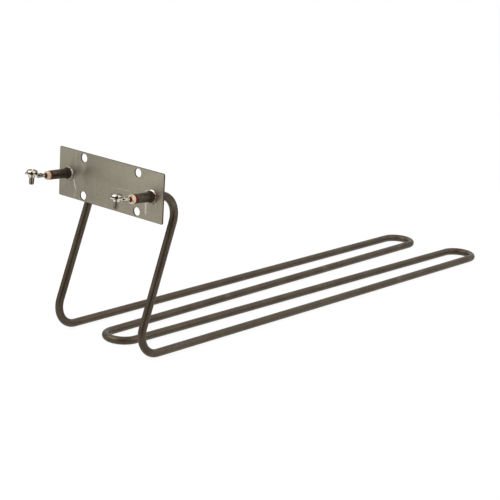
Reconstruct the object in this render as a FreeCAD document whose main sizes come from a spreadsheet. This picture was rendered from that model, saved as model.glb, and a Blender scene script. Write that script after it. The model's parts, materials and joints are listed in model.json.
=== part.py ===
import FreeCAD, Part
import Sketcher
import math
import os

# A tubular sheathed heating element. One bent sheath lies in four legs in a
# flat layer, rises at both ends, passes through a mounting plate and ends in
# two insulated screw terminals.
#
# Frame: the origin is the centre of the four bolt holes, on the plate's back
# face. +Y points from the plate along the heated legs, -Y out of the plate
# towards the terminals, +X to the right seen from the terminals, +Z up.

# Driving dimensions, in millimetres, and in degrees for rises, leans and angles
SIZES = {
    # Mounting plate
    "plate_width": 150.8,
    "plate_height": 51.6,
    "plate_thickness": 1.5,
    "plate_corner": 1.8,
    "bolt_pitch_across": 78.0,
    "bolt_pitch_up": 39.6,
    "bolt_hole": 8.8,
    "plate_shift": 1.3,
    # Sheath: its section, then its route from the plate to the middle turn
    "tube_diameter": 8.5,
    "tube_wall": 0.7,
    "tube_hole_gap": 0.07,
    "tube_hole_drop": 0.3,
    "stub_spacing": 120.5,
    "stub_rise": 3.0,
    "left_stub": 25.0,
    "right_stub": 23.0,
    "run_behind_plate": 10.2,
    "top_bend": 22.6,
    "riser_lean": 19.6,
    "foot_bend": 23.0,
    "leg_drop": 166.6,
    "leg_spacing": 123.5,
    "leg_reach": 589.5,
    "left_leg_shortfall": 11.0,
    "hairpin_bend": 18.15,
    "middle_bend": 18.15,
    "middle_turn_reach": 8.5,
    # Braze on the plate, and the flared collar that sleeves the stub
    "braze_height": 1.2,
    "braze_edge": 0.3,
    "braze_foot_spread": 2.9,
    "braze_neck_spread": 1.4,
    "collar_gap": 0.05,
    "collar_back_wall": 1.35,
    "collar_rim_wall": 1.75,
    "collar_rim_land": 0.6,
    "collar_flare_length": 4.8,
    "collar_root_wall": 0.65,
    "collar_nose_wall": 0.45,
    # Seal, bushing and the seal round the pin
    "seal_thickness": 2.5,
    "seal_spread": 0.4,
    "bushing_overhang": 0.25,
    "bushing_flange_length": 3.7,
    "bushing_bevel": 1.0,
    "bushing_spigot_length": 6.0,
    "bushing_gap": 0.05,
    "pin_seal_wall": 1.0,
    "pin_seal_depth": 1.6,
    # Terminal pin, coil and fill
    "pin_diameter": 3.0,
    "pin_gap": 0.05,
    "pin_inner_reach": 7.0,
    "pin_flat_depth": 0.2,
    "pin_neck_gap": 3.8,
    "coil_wire": 0.5,
    "coil_grip": 5.0,
    # Lug and screw
    "stub_to_screw": 25.1,
    "lug_diameter": 13.9,
    "lug_thickness": 1.2,
    "lug_tab_width": 6.4,
    "lug_tab_length": 12.0,
    "lug_step": 1.8,
    "lug_step_run": 2.6,
    "lug_step_inset": 0.6,
    "lug_neck_wall": 0.75,
    "lug_neck_height": 3.0,
    "lug_neck_chamfer": 0.4,
    "screw_diameter": 5.4,
    "screw_gap": 0.05,
    "screw_length": 11.7,
    "screw_tip": 0.6,
    "head_diameter": 11.2,
    "head_rim": 0.7,
    "head_height": 2.9,
    "slot_width": 1.4,
    "slot_depth": 1.5,
    "left_slot_angle": 135.0,
    "right_slot_angle": 142.0,
}

os.makedirs("parts", exist_ok=True)
doc = FreeCAD.newDocument("heating_element")

sheet = doc.addObject("Spreadsheet::Sheet", "sizes")
for row, (alias, number) in enumerate(SIZES.items(), start=1):
    sheet.set(f"A{row}", alias)
    sheet.set(f"B{row}", str(number))
    sheet.setAlias(f"B{row}", alias)
doc.recompute()

pieces = []


def size(alias):
    """One driving dimension, read from the sheet."""
    return float(sheet.get(alias))


def value_of(expression):
    """An expression on the sheet, as a number for a sketch's first guess."""
    return float(sheet.evalExpression(expression))


def keep(item, label):
    """Name an object as a piece that is written out."""
    item.Label = label
    pieces.append(item)
    return item


def vector(x, y, z=0.0):
    return FreeCAD.Vector(x, y, z)


# Sketches on a body's own planes

def new_sketch(body, plane, lift=None):
    """An empty sketch on one of the body's origin planes, lifted off it if asked."""
    sketch = body.newObject("Sketcher::SketchObject", f"{body.Name}_{plane}_sketch")
    support = next(item for item in body.Origin.OriginFeatures if item.Role == plane)
    sketch.AttachmentSupport = (support, [""])
    sketch.MapMode = "FlatFace"
    if lift:
        sketch.setExpression("AttachmentOffset.Base.z", lift)
    return sketch


def constrain(sketch, kind, places, expression):
    """Add a constraint whose value is bound to an expression."""
    index = sketch.addConstraint(Sketcher.Constraint(kind, *places, abs(value_of(expression))))
    sketch.setExpression(f"Constraints[{index}]", expression)


def place_point(sketch, point, across, up):
    """Hold a sketch point at two expressions from the origin; 0 is on an axis."""
    origin = (-1, 1)
    for kind, expression, axis in (("DistanceX", across, -2), ("DistanceY", up, -1)):
        if expression == "0":
            sketch.addConstraint(Sketcher.Constraint("PointOnObject", *point, axis))
        elif expression.startswith("-"):
            constrain(sketch, kind, point + origin, expression[1:])
        else:
            constrain(sketch, kind, origin + point, expression)


def draw_circle(sketch, radius, across="0", up="0"):
    centre = vector(value_of(across), value_of(up))
    circle = sketch.addGeometry(Part.Circle(centre, vector(0, 0, 1), value_of(radius)))
    constrain(sketch, "Radius", (circle,), radius)
    place_point(sketch, (circle, 3), across, up)


def draw_outline(sketch, corners, dome=None):
    """A closed outline of straight sides through corners given as expressions.

    dome is the index of a side that is an arc centred on the vertical axis."""
    points = [vector(value_of(across), value_of(up)) for across, up in corners]
    sides = []
    for index, start in enumerate(points):
        end = points[(index + 1) % len(points)]
        if index == dome:
            sides.append(sketch.addGeometry(dome_arc(start, end)))
        else:
            sides.append(sketch.addGeometry(Part.LineSegment(start, end)))
    for index, side in enumerate(sides):
        after = sides[(index + 1) % len(sides)]
        sketch.addConstraint(Sketcher.Constraint("Coincident", side, 2, after, 1))
    for side, (across, up) in zip(sides, corners):
        place_point(sketch, (side, 1), across, up)
    if dome is not None:
        sketch.addConstraint(Sketcher.Constraint("PointOnObject", sides[dome], 3, -2))


def dome_arc(rim, top):
    """The arc from a rim point up to the axis, with its centre on the axis."""
    rise = top.y - rim.y
    radius = (rim.x ** 2 + rise ** 2) / (2 * rise)
    centre = vector(0, top.y - radius)
    circle = Part.Circle(centre, vector(0, 0, 1), radius)
    return Part.ArcOfCircle(circle, math.atan2(rim.y - centre.y, rim.x), math.pi / 2)


# Features

def new_body(label):
    return doc.addObject("PartDesign::Body", f"{label}_body")


def pad(body, sketch, length, reverse=False):
    feature = body.newObject("PartDesign::Pad", f"{body.Name}_pad")
    feature.Profile = sketch
    feature.Reversed = reverse
    feature.setExpression("Length", length)
    sketch.Visibility = False
    return feature


def pocket_through(body, sketch):
    feature = body.newObject("PartDesign::Pocket", f"{body.Name}_pocket")
    feature.Profile = sketch
    feature.Type = "ThroughAll"
    feature.Midplane = True
    return feature


def revolve(body, sketch):
    feature = body.newObject("PartDesign::Revolution", f"{body.Name}_turned")
    feature.Profile = sketch
    feature.ReferenceAxis = (sketch, ["V_Axis"])
    feature.Angle = 360
    return feature


def turned_ring(label, corners):
    """A body turned about its own Y axis, from (radius, distance) corners."""
    body = new_body(label)
    sketch = new_sketch(body, "XY_Plane")
    draw_outline(sketch, corners)
    revolve(body, sketch)
    return body


def edges_along(shape, direction):
    """Names of a shape's straight edges that run along a direction."""
    names = []
    for number, edge in enumerate(shape.Edges, start=1):
        if edge.Curve.TypeId == "Part::GeomLine" and abs(edge.tangentAt(0).dot(direction)) > 0.999:
            names.append(f"Edge{number}")
    return names


# Route of the sheath

SIDES = {"left": -1, "right": 1}


def stub_x(side):
    """Sideways place of one stub's axis at the plate."""
    return SIDES[side] * size("stub_spacing") / 2 - size("plate_shift")


def leg_x(side):
    """Sideways place of one outer leg."""
    return SIDES[side] * size("leg_spacing") / 2 - size("plate_shift")


def leg_reach(side):
    """How far a hairpin reaches from the plate's back face."""
    reach = size("leg_reach")
    if side == "left":
        reach -= size("left_leg_shortfall")
    return reach


def drop_direction(side):
    """Unit vector from a stub's axis down its riser's own plane to the leg."""
    drop = size("leg_drop") - size("tube_hole_drop")
    return vector(leg_x(side) - stub_x(side), 0, -drop).normalize()


def stub_direction(side):
    """Unit vector along a stub, from its terminal in through the plate."""
    rise = math.radians(size("stub_rise"))
    return vector(0, math.cos(rise)) + drop_direction(side) * math.sin(rise)


def stub_point(side, outward):
    """Point on a stub's axis, a distance out from the plate's front face."""
    start = vector(stub_x(side), -size("plate_thickness"), -size("tube_hole_drop"))
    return start - stub_direction(side) * outward


def stub_frame(side, outward):
    """Placement on a stub's axis: local Y points out, local Z up."""
    out = stub_direction(side) * -1
    turn = FreeCAD.Rotation(vector(-1, 0), out, vector(0, 0, 1), "YZX")
    return FreeCAD.Placement(stub_point(side, outward), turn)


def bend_points(start, heading, towards, radius, turn):
    """Middle and end of a bend that leaves start along heading."""
    centre = start + towards * radius
    points = []
    for angle in (turn / 2, turn):
        points.append(centre - towards * (radius * math.cos(angle)) + heading * (radius * math.sin(angle)))
    return points


def inner_leg_tilt(side):
    """Angle of an inner leg, a straight line tangent to both of its bends."""
    hairpin = size("hairpin_bend")
    middle = size("middle_bend")
    across = size("leg_spacing") / 2 - hairpin
    along = leg_reach(side) - hairpin - size("middle_turn_reach") - middle
    return math.atan2(across, along) - math.asin((hairpin + middle) / math.hypot(across, along))


def half_route(side, start):
    """Edges from a point on the stub to the middle turn, then that turn's tangent point."""
    down = drop_direction(side)
    along = vector(0, 1)
    lean = math.radians(size("riser_lean"))
    rise = math.radians(size("stub_rise"))
    drop = size("leg_drop") - size("tube_hole_drop")
    depth = drop / -down.z

    stub = stub_direction(side)
    bend_start = stub_point(side, -size("plate_thickness") - size("run_behind_plate"))
    towards = down * math.cos(rise) - along * math.sin(rise)
    bend_turn = math.pi / 2 + lean - rise
    bend_middle, riser_top = bend_points(bend_start, stub, towards, size("top_bend"), bend_turn)

    riser = down * math.cos(lean) - along * math.sin(lean)
    fallen = (riser_top - stub_point(side, 0)).dot(down)
    foot_rise = size("foot_bend") * (1 + math.sin(lean))
    riser_foot = riser_top + riser * ((depth - foot_rise - fallen) / math.cos(lean))
    towards = down * math.sin(lean) + along * math.cos(lean)
    foot_middle, leg_start = bend_points(riser_foot, riser, towards, size("foot_bend"), math.pi / 2 + lean)

    hairpin = size("hairpin_bend")
    inward = vector(-SIDES[side], 0)
    tilt = inner_leg_tilt(side)
    leg_end = vector(leg_start.x, leg_reach(side) - hairpin, leg_start.z)
    hairpin_middle, inner_start = bend_points(leg_end, along, inward, hairpin, math.pi - tilt)

    middle = size("middle_bend")
    centre = vector(-size("plate_shift"), size("middle_turn_reach") + middle, leg_start.z)
    inner_end = centre - inward * (middle * math.cos(tilt)) - along * (middle * math.sin(tilt))
    edges = [
        Part.LineSegment(start, bend_start).toShape(),
        Part.Arc(bend_start, bend_middle, riser_top).toShape(),
        Part.LineSegment(riser_top, riser_foot).toShape(),
        Part.Arc(riser_foot, foot_middle, leg_start).toShape(),
        Part.LineSegment(leg_start, leg_end).toShape(),
        Part.Arc(leg_end, hairpin_middle, inner_start).toShape(),
        Part.LineSegment(inner_start, inner_end).toShape(),
    ]
    return edges, inner_end


def route(name, left_out, right_out):
    """The tube's centre line, between distances out along the two stubs."""
    left, left_end = half_route("left", stub_point("left", left_out))
    right, right_end = half_route("right", stub_point("right", right_out))
    apex = vector(-size("plate_shift"), size("middle_turn_reach"), left_end.z)
    turn = Part.Arc(left_end, apex, right_end).toShape()
    line = doc.addObject("Part::Feature", f"{name}_route")
    line.Shape = Part.Wire(left + [turn] + right[::-1])
    return line


def swept_rod(name, line, diameter, left_out):
    """A round rod swept along a route that starts on the left stub."""
    section = doc.addObject("Part::Circle", f"{name}_section")
    section.setExpression("Radius", f"({diameter}) / 2")
    across = FreeCAD.Placement(vector(0, 0), FreeCAD.Rotation(vector(1, 0), 90))
    section.Placement = stub_frame("left", left_out).multiply(across)
    rod = doc.addObject("Part::Sweep", name)
    rod.Sections = [section]
    rod.Spine = (line, [])
    rod.Solid = True
    return rod


def cut(name, base, tool):
    item = doc.addObject("Part::Cut", name)
    item.Base = base
    item.Tool = tool
    return item


# Mounting plate

def mounting_plate():
    """A flat plate with four bolt holes and two holes for the sheath."""
    body = new_body("mounting_plate")
    outline = new_sketch(body, "XZ_Plane")
    half_width = "sizes.plate_width / 2"
    half_height = "sizes.plate_height / 2"
    draw_outline(outline, (
        (half_width, half_height),
        ("-" + half_width, half_height),
        ("-" + half_width, "-" + half_height),
        (half_width, "-" + half_height),
    ))
    blank = pad(body, outline, "sizes.plate_thickness")
    doc.recompute()
    corners = body.newObject("PartDesign::Fillet", "plate_corners")
    corners.Base = (blank, edges_along(blank.Shape, vector(0, 1)))
    corners.setExpression("Radius", "sizes.plate_corner")
    holes = new_sketch(body, "XZ_Plane")
    across = "sizes.bolt_pitch_across / 2"
    up = "sizes.bolt_pitch_up / 2"
    for x in (across, "-" + across):
        for z in (up, "-" + up):
            draw_circle(holes, "sizes.bolt_hole / 2", x, z)
    slope = "sizes.plate_thickness / 2 * tan(sizes.stub_rise)"
    radius = f"sizes.tube_diameter / 2 / cos(sizes.stub_rise) + {slope} + sizes.tube_hole_gap"
    drop = f"-(sizes.tube_hole_drop + {slope})"
    draw_circle(holes, radius, "-(sizes.stub_spacing / 2 + sizes.plate_shift)", drop)
    draw_circle(holes, radius, "sizes.stub_spacing / 2 - sizes.plate_shift", drop)
    pocket_through(body, holes)
    return keep(body, "mounting_plate")


# Sheath, coil and fill

def fill_reach(side):
    """Distance out along a stub where the fill meets the bushing's spigot."""
    return size(f"{side}_stub") - size("bushing_spigot_length")


def sheath_and_inside():
    """The bent sheath, the coil inside it and the fill that holds the coil."""
    stubs = (size("left_stub"), size("right_stub"))
    sheath_line = route("sheath", *stubs)
    outside = swept_rod("sheath_outside", sheath_line, "sizes.tube_diameter", stubs[0])
    bore = "sizes.tube_diameter - 2 * sizes.tube_wall"
    inside = swept_rod("sheath_inside", sheath_line, bore, stubs[0])
    keep(cut("sheath", outside, inside), "sheath_tube")

    pin_end = -size("plate_thickness") - size("pin_inner_reach")
    coil_end = pin_end + size("coil_grip")
    coil_line = route("coil", coil_end, coil_end)
    core_line = route("core", pin_end, pin_end)
    wound = "sizes.pin_diameter + 2 * sizes.pin_gap"
    coil_outside = swept_rod("coil_outside", coil_line, f"{wound} + 2 * sizes.coil_wire", coil_end)
    coil_inside = swept_rod("coil_inside", coil_line, wound, coil_end)
    keep(cut("coil", coil_outside, coil_inside), "resistance_coil")

    fill_line = route("fill", fill_reach("left"), fill_reach("right"))
    powder = swept_rod("fill_outside", fill_line, bore, fill_reach("left"))
    coil_space = swept_rod("coil_space", coil_line, f"{wound} + 2 * sizes.coil_wire", coil_end)
    sleeve = cut("fill_round_coil", powder, coil_space)
    for side in SIDES:
        space = doc.addObject("Part::Cylinder", f"{side}_pin_space")
        space.setExpression("Radius", "sizes.pin_diameter / 2 + sizes.pin_gap")
        reach = "sizes.pin_inner_reach + sizes.plate_thickness"
        space.setExpression("Height", f"{reach} + sizes.{side}_stub")
        along = FreeCAD.Placement(vector(0, 0), FreeCAD.Rotation(vector(1, 0), -90))
        space.Placement = stub_frame(side, pin_end).multiply(along)
        sleeve = cut(f"{side}_fill_round_pin", sleeve, space)
    core = swept_rod("fill_in_coil", core_line, "sizes.pin_diameter", pin_end)
    fill = doc.addObject("Part::Compound", "fill")
    fill.Links = [sleeve, core]
    keep(fill, "insulation_fill")
    return outside


# Pieces round each stub

def collar(side):
    """A collar that sleeves the stub up to its end, flared out towards the plate."""
    bore = "sizes.tube_diameter / 2 + sizes.collar_gap"
    length = f"sizes.{side}_stub - sizes.braze_height"
    body = turned_ring(f"{side}_collar", (
        (bore, "0"),
        (f"{bore} + sizes.collar_back_wall", "0"),
        (f"{bore} + sizes.collar_rim_wall", "sizes.collar_rim_land"),
        (f"{bore} + sizes.collar_rim_wall", "2 * sizes.collar_rim_land"),
        (f"{bore} + sizes.collar_root_wall", "sizes.collar_flare_length"),
        (f"{bore} + sizes.collar_nose_wall", length),
        (bore, length),
    ))
    body.Placement = stub_frame(side, size("braze_height"))
    return keep(body, f"{side}_collar")


def braze(side, sheath_outside):
    """A braze fillet between the plate, the sheath and the collar's back."""
    foot = "sizes.tube_diameter / 2 + sizes.braze_foot_spread"
    neck = "sizes.tube_diameter / 2 + sizes.braze_neck_spread"
    body = turned_ring(f"{side}_braze", (
        ("0", "-sizes.braze_height"),
        (foot, "-sizes.braze_height"),
        (foot, "sizes.braze_edge"),
        (f"{neck} + sizes.braze_edge", "sizes.braze_height / 2"),
        (neck, "sizes.braze_height"),
        ("0", "sizes.braze_height"),
    ))
    body.Placement = stub_frame(side, 0)
    behind = doc.addObject("Part::Box", f"{side}_behind_plate_face")
    for name in ("Length", "Width", "Height"):
        behind.setExpression(name, f"4 * ({foot})")
    half = 2 * value_of(foot)
    face = stub_point(side, 0)
    behind.Placement = FreeCAD.Placement(face - vector(half, 0, half), FreeCAD.Rotation())
    in_front = cut(f"{side}_braze_in_front", body, behind)
    return keep(cut(f"{side}_braze", in_front, sheath_outside), f"{side}_braze_ring")


def end_seal(side):
    """A soft ring squeezed between the ends of sheath and collar and the bushing."""
    bore = "sizes.tube_diameter / 2 - sizes.tube_wall - sizes.bushing_gap"
    outer = "sizes.tube_diameter / 2 + sizes.seal_spread"
    body = turned_ring(f"{side}_end_seal", (
        (bore, "0"),
        (outer, "0"),
        (outer, "sizes.seal_thickness"),
        (bore, "sizes.seal_thickness"),
    ))
    body.Placement = stub_frame(side, size(f"{side}_stub"))
    return keep(body, f"{side}_end_seal")


def ceramic_bushing(side):
    """A ceramic bushing: a spigot in the sheath, a bevelled flange outside it."""
    spigot = "sizes.tube_diameter / 2 - sizes.tube_wall - sizes.bushing_gap"
    flange = "sizes.tube_diameter / 2 + sizes.bushing_overhang"
    mouth = "sizes.pin_diameter / 2 + sizes.pin_seal_wall"
    bore = "sizes.pin_diameter / 2 + sizes.pin_gap"
    back = "sizes.bushing_spigot_length + sizes.seal_thickness"
    face = f"{back} + sizes.bushing_flange_length"
    body = turned_ring(f"{side}_ceramic_bushing", (
        (bore, "0"),
        (spigot, "0"),
        (spigot, back),
        (flange, back),
        (flange, f"{face} - sizes.bushing_bevel"),
        (f"{flange} - sizes.bushing_bevel", face),
        (mouth, face),
        (mouth, f"{face} - sizes.pin_seal_depth"),
        (bore, f"{face} - sizes.pin_seal_depth"),
    ))
    body.Placement = stub_frame(side, fill_reach(side))
    return keep(body, f"{side}_ceramic_bushing")


def pin_seal(side):
    """A soft plug that fills the bushing's mouth round the pin."""
    bore = "sizes.pin_diameter / 2"
    outer = f"{bore} + sizes.pin_seal_wall"
    body = turned_ring(f"{side}_pin_seal", (
        (bore, "0"),
        (outer, "0"),
        (outer, "sizes.pin_seal_depth"),
        (bore, "sizes.pin_seal_depth"),
    ))
    mouth = size("seal_thickness") + size("bushing_flange_length") - size("pin_seal_depth")
    body.Placement = stub_frame(side, size(f"{side}_stub") + mouth)
    return keep(body, f"{side}_pin_seal")


NECK_RADIUS = "(sizes.screw_diameter / 2 + sizes.screw_gap + sizes.lug_neck_wall)"


def terminal_pin(side):
    """The pin that carries current from the lug into the coil, with a flat for the lug."""
    body = new_body(f"{side}_terminal_pin")
    section = new_sketch(body, "XZ_Plane")
    draw_circle(section, "sizes.pin_diameter / 2")
    screw = f"(sizes.pin_inner_reach + sizes.plate_thickness + sizes.{side}_stub + sizes.stub_to_screw)"
    end = f"{screw} - {NECK_RADIUS} - sizes.pin_neck_gap"
    pad(body, section, end, reverse=True)
    seat = "sizes.pin_diameter / 2 - sizes.pin_flat_depth"
    clear = "sizes.pin_diameter"
    flat = new_sketch(body, "YZ_Plane")
    draw_outline(flat, (
        (f"{screw} - sizes.lug_tab_length", seat),
        (screw, seat),
        (screw, clear),
        (f"{screw} - sizes.lug_tab_length", clear),
    ))
    pocket_through(body, flat)
    body.Placement = stub_frame(side, -size("plate_thickness") - size("pin_inner_reach"))
    return keep(body, f"{side}_terminal_pin")


def screw_frame(side, lift):
    """Placement on a terminal screw's axis, at a height above the pin's flat."""
    seat = size("pin_diameter") / 2 - size("pin_flat_depth")
    up = FreeCAD.Placement(vector(0, 0, seat + lift), FreeCAD.Rotation())
    return stub_frame(side, size(f"{side}_stub") + size("stub_to_screw")).multiply(up)


def terminal_lug(side):
    """A ring lug: a tab on the pin's flat, a step up to the ring, a tapped neck."""
    body = new_body(f"{side}_terminal_lug")
    strap = new_sketch(body, "YZ_Plane")
    ring_level = "sizes.lug_step"
    ring_top = "(sizes.lug_step + sizes.lug_thickness)"
    step_top = "(sizes.lug_diameter / 2 - sizes.lug_step_inset)"
    step_foot = f"({step_top} + sizes.lug_step_run)"
    draw_outline(strap, (
        ("-sizes.lug_tab_length", "0"),
        (f"-{step_foot}", "0"),
        (f"-{step_top}", ring_level),
        ("0", ring_level),
        ("0", ring_top),
        (f"-{step_top}", ring_top),
        (f"-{step_foot}", "sizes.lug_thickness"),
        ("-sizes.lug_tab_length", "sizes.lug_thickness"),
    ))
    pad(body, strap, "sizes.lug_tab_width").Midplane = True
    ring = new_sketch(body, "XY_Plane", lift=ring_level)
    draw_circle(ring, "sizes.lug_diameter / 2")
    pad(body, ring, "sizes.lug_thickness")
    neck = new_sketch(body, "XZ_Plane")
    draw_outline(neck, (
        ("0", ring_level),
        ("0", f"{ring_level} - sizes.lug_neck_height"),
        (f"{NECK_RADIUS} - sizes.lug_neck_chamfer", f"{ring_level} - sizes.lug_neck_height"),
        (NECK_RADIUS, f"{ring_level} - sizes.lug_neck_height + sizes.lug_neck_chamfer"),
        (NECK_RADIUS, ring_level),
    ))
    revolve(body, neck)
    hole = new_sketch(body, "XY_Plane")
    draw_circle(hole, "sizes.screw_diameter / 2 + sizes.screw_gap")
    pocket_through(body, hole)
    body.Placement = screw_frame(side, 0)
    return keep(body, f"{side}_terminal_lug")


def terminal_screw(side):
    """A wide-headed screw with a single slot; its thread is left plain."""
    body = new_body(f"{side}_terminal_screw")
    section = new_sketch(body, "XZ_Plane")
    shank = "sizes.screw_diameter / 2"
    head = "sizes.head_diameter / 2"
    draw_outline(section, (
        ("0", "-sizes.screw_length"),
        (f"{shank} - sizes.screw_tip", "-sizes.screw_length"),
        (shank, "-(sizes.screw_length - sizes.screw_tip)"),
        (shank, "0"),
        (head, "0"),
        (head, "sizes.head_rim"),
        ("0", "sizes.head_height"),
    ), dome=5)
    revolve(body, section)
    slot = new_sketch(body, "XY_Plane", lift="sizes.head_height")
    half_slot = "sizes.slot_width / 2"
    half_run = "sizes.head_diameter"
    draw_outline(slot, (
        (half_run, half_slot),
        ("-" + half_run, half_slot),
        ("-" + half_run, "-" + half_slot),
        (half_run, "-" + half_slot),
    ))
    slot.AttachmentOffset = FreeCAD.Placement(
        slot.AttachmentOffset.Base,
        FreeCAD.Rotation(vector(0, 0, 1), size(f"{side}_slot_angle")))
    groove = body.newObject("PartDesign::Pocket", f"{side}_screw_slot")
    groove.Profile = slot
    groove.setExpression("Length", "sizes.slot_depth")
    body.Placement = screw_frame(side, size("lug_step") + size("lug_thickness"))
    return keep(body, f"{side}_terminal_screw")


mounting_plate()
sheath_outside = sheath_and_inside()
for side in SIDES:
    collar(side)
    braze(side, sheath_outside)
    end_seal(side)
    ceramic_bushing(side)
    pin_seal(side)
    terminal_pin(side)
    terminal_lug(side)
    terminal_screw(side)
doc.recompute()

# Checks, then one file for each piece

for item in doc.Objects:
    if "Invalid" in item.State or "Error" in item.State:
        raise RuntimeError(f"{item.Label} did not build: {item.State}")
for item in pieces:
    if item.Shape.isNull() or not item.Shape.isValid():
        raise RuntimeError(f"{item.Label} has no valid shape")
for item in pieces:
    item.Shape.exportStep(f"parts/{item.Label}.step")
    solids = len(item.Shape.Solids)
    print(f"{item.Label}: {solids} solid, {item.Shape.Volume:.2f} mm3")
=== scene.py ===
import bmesh
import bpy
import json
import math
from mathutils import Matrix, Vector, noise


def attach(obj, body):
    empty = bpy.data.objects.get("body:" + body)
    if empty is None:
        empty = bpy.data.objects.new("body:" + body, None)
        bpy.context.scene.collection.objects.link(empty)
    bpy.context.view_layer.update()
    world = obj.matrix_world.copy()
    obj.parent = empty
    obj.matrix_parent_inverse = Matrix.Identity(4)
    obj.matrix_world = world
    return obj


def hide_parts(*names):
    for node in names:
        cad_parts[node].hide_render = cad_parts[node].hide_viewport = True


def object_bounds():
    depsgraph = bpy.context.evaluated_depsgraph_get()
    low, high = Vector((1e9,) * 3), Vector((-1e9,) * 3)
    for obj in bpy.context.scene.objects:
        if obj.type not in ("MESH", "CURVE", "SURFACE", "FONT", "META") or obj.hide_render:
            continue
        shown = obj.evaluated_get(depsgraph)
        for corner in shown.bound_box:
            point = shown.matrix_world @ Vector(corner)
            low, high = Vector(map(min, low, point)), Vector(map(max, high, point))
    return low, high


# The looks of a tubular heating element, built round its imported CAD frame.
# Lengths in the pieces below are millimetres. The plate's and the pins' are on
# the frame's axes, and all others are on a stub's, with Y out along the stub
# and Z up. Each piece is turned into metres of the frame when it is finished.

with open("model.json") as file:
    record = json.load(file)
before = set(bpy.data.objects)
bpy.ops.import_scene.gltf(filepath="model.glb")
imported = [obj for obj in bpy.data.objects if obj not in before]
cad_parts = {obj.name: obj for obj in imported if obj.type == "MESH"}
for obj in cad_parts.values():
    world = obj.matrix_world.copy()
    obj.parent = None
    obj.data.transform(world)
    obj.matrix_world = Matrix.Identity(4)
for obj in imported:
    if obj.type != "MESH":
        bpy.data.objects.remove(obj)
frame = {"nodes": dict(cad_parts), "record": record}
nodes = frame["nodes"]
cad_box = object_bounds()

SIDES = {"left": -1, "right": 1}
MILLIMETRE = 0.001

# Where the stubs stand, as the CAD has them
STUB_ACROSS = {"left": -61.55, "right": 58.95}
STUB_LENGTH = {"left": 25.0, "right": 23.0}
STUB_RISE = math.radians(3.0)
HOLE_DROP = 0.3
LEG_SPLAY = 1.5
LEG_FALL = 166.3
PLATE_THICKNESS = 1.5
TUBE_RADIUS = 4.25

# Lengths along a stub
BRAZE_TOP = 1.2
SEAL_LENGTH = 2.5
FLANGE_LENGTH = 3.7
SPIGOT_LENGTH = 6.0
PIN_SEAL_DEPTH = 1.6
STUB_TO_SCREW = 25.1

# Radii inside the stub's end
SPIGOT_RADIUS = 3.5
MOUTH_RADIUS = 2.5
PIN_BORE = 1.55
PIN_RADIUS = 1.5

# The terminal's sizes. The tab's length, the slot's depth and the head's height
# and rim are the photo's, and they are larger than the CAD's.
PIN_FLAT = 1.3
LUG_RISE = 1.8
LUG_THICKNESS = 1.2
LUG_RADIUS = 6.95
TAB_HALF_WIDTH = 3.2
TAB_LENGTH = 14.5
TAB_FOOT = 8.95
NECK_HEIGHT = 3.0
NECK_RADIUS = 3.5
HOLE_RADIUS = 2.75
SCREW_LENGTH = 11.7
SCREW_RADIUS = 2.7
THREAD_PITCH = 1.058
THREAD_DEPTH = 0.35
THREAD_START = 0.3
UNTHREADED = 2.2
HEAD_RADIUS = 5.6
HEAD_RIM = 1.9
HEAD_HEIGHT = 3.7
SLOT_WIDTH = 1.4
SLOT_DEPTH = 1.7
SLOT_WALL = 0.04
SLOT_ANGLE = {"left": 135.0, "right": 142.0}

# The head's top is painted dark on one side of a line across it, as a dark reflection
DARK_REFLECTION_SIDE = (0.65, -0.76)
DARK_REFLECTION_LINE = -3.3

# Where each braze bead reads the noise that makes it uneven
BEAD_LUMPS = {"left": 3.1, "right": 9.7}

# Steps in a full turn of the turned pieces and of the thread
FINE_TURN = 96
PLAIN_TURN = 72
THREAD_TURN = 28

# Where the camera stands, from its fit to the photograph
CAMERA_AZIMUTH = 40.792
CAMERA_ELEVATION = 15.894
CAMERA_ROLL = 3.355
CAMERA_LENS = 122.243
CAMERA_PLACE = (1.19467, -1.16445, 0.41303)

# The room, in the frame's own directions
DARK_SIDE = (0.653, -0.757, 0)
FLOOR_HEIGHT = cad_box[0].z
FLOOR_GAP = 0.0004
FLOOR_HALF_WIDTH = 12.0
WHITE = (1, 1, 1, 1)


# Finishes

class Signal:
    """A shader socket that Python's own operators work on."""

    def __init__(self, finish, socket):
        self.finish = finish
        self.socket = socket

    def _math(self, operation, first, second):
        return self.finish.add("ShaderNodeMath", {"operation": operation},
                               {0: first, 1: second})

    def __add__(self, other):
        return self._math("ADD", self, other)

    def __radd__(self, other):
        return self._math("ADD", other, self)

    def __sub__(self, other):
        return self._math("SUBTRACT", self, other)

    def __rsub__(self, other):
        return self._math("SUBTRACT", other, self)

    def __mul__(self, other):
        return self._math("MULTIPLY", self, other)

    def __rmul__(self, other):
        return self._math("MULTIPLY", other, self)

    def __or__(self, other):
        return self._math("MAXIMUM", self, other)


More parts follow.
